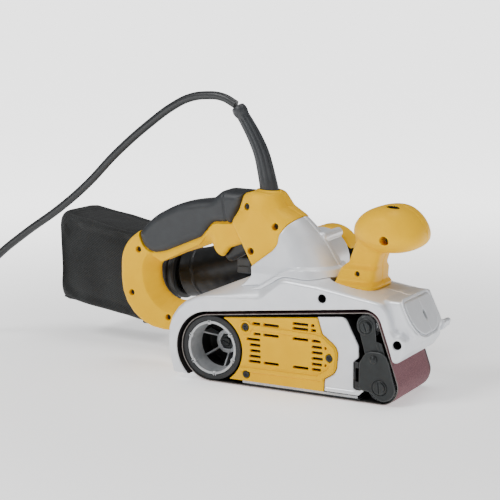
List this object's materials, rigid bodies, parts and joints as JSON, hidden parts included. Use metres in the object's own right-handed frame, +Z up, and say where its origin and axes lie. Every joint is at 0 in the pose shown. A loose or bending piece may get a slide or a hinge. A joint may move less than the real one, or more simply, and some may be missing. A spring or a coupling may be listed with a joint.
{
  "type": "handheld belt sander",
  "caption": "Handheld electric belt sander: side drive drum and front rollers with an abrasive belt, D-handle with trigger, front knob, side dust duct with cloth bag, and a coiled cord.",
  "frame": {"origin": "middle of the flat sanding run of the belt, on the sanding face", "axes": "+X towards the nose, +Z up away from the sanding face, -Y towards the open side where the belt is changed"},
  "size_m": [0.663, 0.2413, 0.2694],
  "materials": {
    "yellow_casing": "moulded gloss",
    "silver_casting": "silver lacquer on a casting",
    "soft_rubber": "matt",
    "black_plastic": "satin",
    "steel": "turned",
    "dark_steel": "blackened",
    "abrasive": "gritted cloth",
    "bag_cloth": "fine weave",
    "copper": "machined",
    "brass": "machined",
    "cast_alloy": "as cast"
  },
  "bodies": {
    "machine": {"housing_right": "silver_casting", "housing_left": "silver_casting", "tower_right": "silver_casting", "tower_left": "silver_casting", "handle_right": "yellow_casing", "handle_left": "yellow_casing", "grip": "soft_rubber", "switch_module": "black_plastic", "knob_right": "yellow_casing", "knob_left": "yellow_casing", "platen_pad": "soft_rubber", "platen": "steel", "inner_frame": "silver_casting", "vent_cover": "yellow_casing", "control_module": "cast_alloy", "vent_screw_upper": "dark_steel", "vent_screw_lower": "dark_steel", "vent_screw_front": "dark_steel", "drum_bearing": "steel", "slide_guide": "black_plastic", "motor_stator": "dark_steel", "brush_holder_front": "brass", "brush_holder_rear": "brass", "motor_bearing_right": "steel", "motor_bearing_left": "cast_alloy", "drive_belt": "soft_rubber", "fan_cover": "yellow_casing", "drive_belt_cover": "silver_casting", "dust_duct": "black_plastic", "strain_relief": "soft_rubber", "cord_tube": "soft_rubber", "cord_coil": "soft_rubber", "cord_plug": "soft_rubber"},
    "trigger": {"trigger": "black_plastic"},
    "lock_button": {"lock_button": "black_plastic"},
    "speed_dial": {"speed_dial": "black_plastic"},
    "sanding_belt": {"sanding_belt": "abrasive"},
    "drum": {"drum_hub": "cast_alloy", "drum_tyre": "soft_rubber", "drum_shaft": "steel", "drum_gear": "steel"},
    "gear_pulley": {"gear_pulley": "dark_steel"},
    "rotor": {"armature": "steel", "commutator": "copper", "dust_fan": "black_plastic", "motor_pulley": "steel"},
    "tension_lever": {"tension_lever": "silver_casting"},
    "tension_yoke": {"tension_yoke": "dark_steel", "lower_axle": "steel", "lower_axle_screw": "dark_steel", "pivot_pin": "steel", "tension_spring": "steel"},
    "lower_roller": {"lower_roller": "steel"},
    "tracking_knob": {"tracking_knob": "black_plastic"},
    "tracking_arm": {"tracking_arm": "dark_steel", "upper_axle": "steel", "upper_axle_screw": "steel"},
    "upper_roller": {"upper_roller": "steel"},
    "bag": {"bag_collar": "black_plastic", "dust_bag": "bag_cloth"}
  },
  "joints": [
    {"name": "trigger_pull", "type": "hinge", "parent": "machine", "child": "trigger", "pos_m": [-0.066, 0, 0.131], "axis": [0, 1, 0], "range_deg": [0, 8], "stiffness_Nm_per_rad": 0.8, "springref_deg": -8.59},
    {"name": "lock_button_press", "type": "slide", "parent": "machine", "child": "lock_button", "axis": [0, -1, 0], "range_m": [0, 0.002], "stiffness_N_per_m": 1200, "springref_m": -0.001},
    {"name": "speed_dial_turn", "type": "hinge", "parent": "machine", "child": "speed_dial", "pos_m": [-0.046, 0.026, 0.15], "axis": [0, 1, 0], "range_deg": [0, 270]},
    {"name": "belt_pull_off", "type": "slide", "parent": "machine", "child": "sanding_belt", "axis": [0, -1, 0], "range_m": [0, 0.085]},
    {"name": "drum_spin", "type": "hinge", "parent": "machine", "child": "drum", "pos_m": [-0.09, 0, 0.0322], "axis": [0, 1, 0], "continuous": true},
    {"name": "gear_pulley_spin", "type": "hinge", "parent": "machine", "child": "gear_pulley", "pos_m": [-0.06362, 0, 0.05084], "axis": [0, 1, 0], "continuous": true},
    {"name": "rotor_spin", "type": "hinge", "parent": "machine", "child": "rotor", "pos_m": [-0.012, 0, 0.114], "axis": [0, 1, 0], "continuous": true},
    {"name": "tension_lever_turn", "type": "hinge", "parent": "machine", "child": "tension_lever", "pos_m": [0.0725, 0.046, 0.0455], "axis": [0, 1, 0], "range_deg": [0, 60]},
    {"name": "tension_slide", "type": "slide", "parent": "machine", "child": "tension_yoke", "axis": [-1, 0, 0], "range_m": [0, 0.004]},
    {"name": "lower_roller_spin", "type": "hinge", "parent": "tension_yoke", "child": "lower_roller", "pos_m": [0.083, 0, 0.0166], "axis": [0, 1, 0], "continuous": true},
    {"name": "tracking_knob_turn", "type": "hinge", "parent": "machine", "child": "tracking_knob", "pos_m": [0.038, 0.048, 0.062], "axis": [0, 1, 0], "range_deg": [-180, 180]},
    {"name": "tracking_tilt", "type": "hinge", "parent": "tension_yoke", "child": "tracking_arm", "pos_m": [0.0768, 0, 0.0415], "axis": [0, 1, 0], "range_deg": [-1.2, 1.2]},
    {"name": "upper_roller_spin", "type": "hinge", "parent": "tracking_arm", "child": "upper_roller", "pos_m": [0.068, 0, 0.0695], "axis": [0, 1, 0], "continuous": true},
    {"name": "bag_pull_off", "type": "slide", "parent": "machine", "child": "bag", "axis": [-1, 0, 0], "range_m": [0, 0.06]}
  ],
  "couplings": [
    {"joint": "gear_pulley_spin", "follows": "drum_spin", "ratio": -2.7778},
    {"joint": "rotor_spin", "follows": "drum_spin", "ratio": -5.9028},
    {"joint": "lower_roller_spin", "follows": "drum_spin", "ratio": 1.9398},
    {"joint": "upper_roller_spin", "follows": "drum_spin", "ratio": 2.4769},
    {"joint": "tension_lever_turn", "follows": "tension_slide", "rad_per_m": 261.8},
    {"joint": "tracking_knob_turn", "follows": "tracking_tilt", "ratio": 150}
  ]
}
